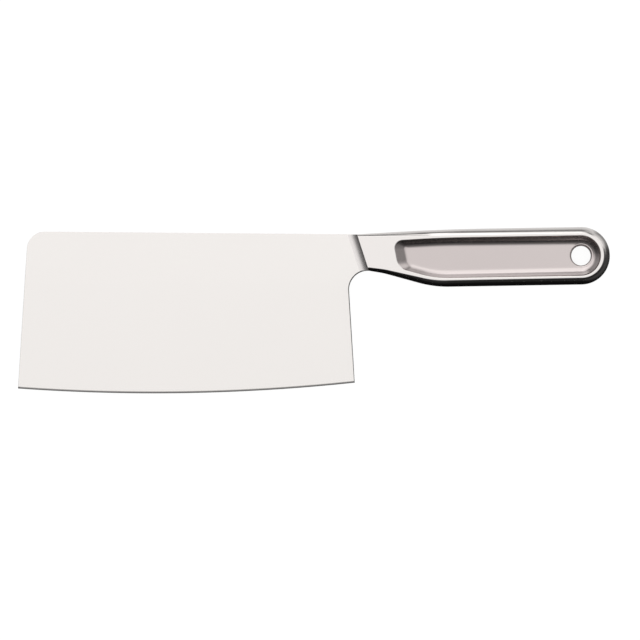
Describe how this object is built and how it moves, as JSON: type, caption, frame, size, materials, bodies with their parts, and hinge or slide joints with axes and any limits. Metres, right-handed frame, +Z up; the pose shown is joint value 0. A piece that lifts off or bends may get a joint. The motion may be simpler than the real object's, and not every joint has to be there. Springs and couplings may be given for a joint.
{
  "type": "cleaver",
  "caption": "Wide-bladed all-steel kitchen cleaver with a hollow welded handle, a sunk grip recess in each side of it and a hang hole near the butt.",
  "frame": {"origin": "middle of the box that the knife fills, at the height of the table it lies on", "axes": "+X towards the butt of the handle, +Y towards the spine, +Z up, out of the blade's left face"},
  "size_m": [0.2958, 0.0832, 0.0136],
  "materials": {
    "blade_steel": "fine satin grind, bright, with a polished edge bevel",
    "handle_steel": "satin rim and sides, bead-blasted recess",
    "weld_steel": "weld ground flush and satin",
    "sleeve_steel": "bead-blasted"
  },
  "bodies": {
    "root": {"blade": "blade_steel", "handle_shell_left": "handle_steel", "handle_shell_right": "handle_steel", "seam_weld": "weld_steel", "bolster_weld_left": "weld_steel", "bolster_weld_right": "weld_steel", "hang_sleeve": "sleeve_steel"}
  },
  "joints": []
}
